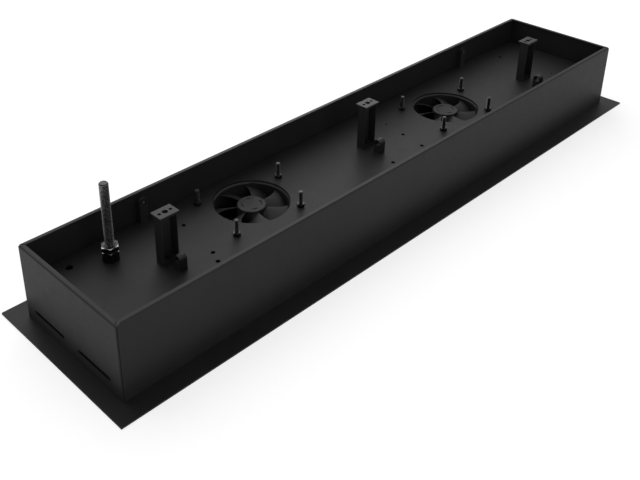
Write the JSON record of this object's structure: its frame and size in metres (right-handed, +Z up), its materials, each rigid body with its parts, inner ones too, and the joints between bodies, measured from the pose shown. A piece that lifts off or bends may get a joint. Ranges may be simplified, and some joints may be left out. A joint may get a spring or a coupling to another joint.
{
  "type": "recessed ceiling housing",
  "caption": "Long recessed ceiling housing with a trim flange, an inner deck with axial fans, drilled posts and a threaded suspension rod.",
  "frame": {"origin": "centre of the underside of the trim flange", "axes": "+X along the housing towards the end without the rod, +Z up out of the open back"},
  "size_m": [0.906, 0.212, 0.1435],
  "materials": {
    "powder_coat": "matt",
    "fan_plastic": "satin",
    "black_steel": "blackened",
    "bright_steel": "bright",
    "magnet": "matt",
    "winding": "enamelled wire",
    "board": "satin"
  },
  "bodies": {
    "housing": {"wall_band": "powder_coat", "trim_flange": "powder_coat", "mounting_deck": "powder_coat", "hoop_left": "powder_coat", "hoop_right": "powder_coat", "hoop_pins": "bright_steel", "fan_frame_left": "fan_plastic", "fan_frame_right": "fan_plastic", "fan_bearings_left": "bright_steel", "fan_bearings_right": "bright_steel", "stator_left": "winding", "stator_right": "winding", "circuit_board_left": "board", "circuit_board_right": "board", "fan_screws_left": "black_steel", "fan_screws_right": "black_steel", "fan_nuts_left": "black_steel", "fan_nuts_right": "black_steel", "post_left": "powder_coat", "post_middle": "powder_coat", "post_right": "powder_coat", "post_screws": "black_steel", "arch_left": "powder_coat", "arch_middle": "powder_coat", "arch_right": "powder_coat", "threaded_rod": "black_steel", "rod_nut_lower": "black_steel", "rod_nut_upper": "black_steel", "rod_lock_nut": "black_steel"},
    "left_rotor": {"impeller_left": "fan_plastic", "rotor_ring_left": "magnet", "rotor_shaft_left": "bright_steel"},
    "right_rotor": {"impeller_right": "fan_plastic", "rotor_ring_right": "magnet", "rotor_shaft_right": "bright_steel"}
  },
  "joints": [
    {"name": "left_fan_spin", "type": "hinge", "parent": "housing", "child": "left_rotor", "pos_m": [-0.1785, 0.024, 0.04], "axis": [0, 0, 1], "continuous": true},
    {"name": "right_fan_spin", "type": "hinge", "parent": "housing", "child": "right_rotor", "pos_m": [0.17, 0.012, 0.04], "axis": [0, 0, 1], "continuous": true}
  ]
}
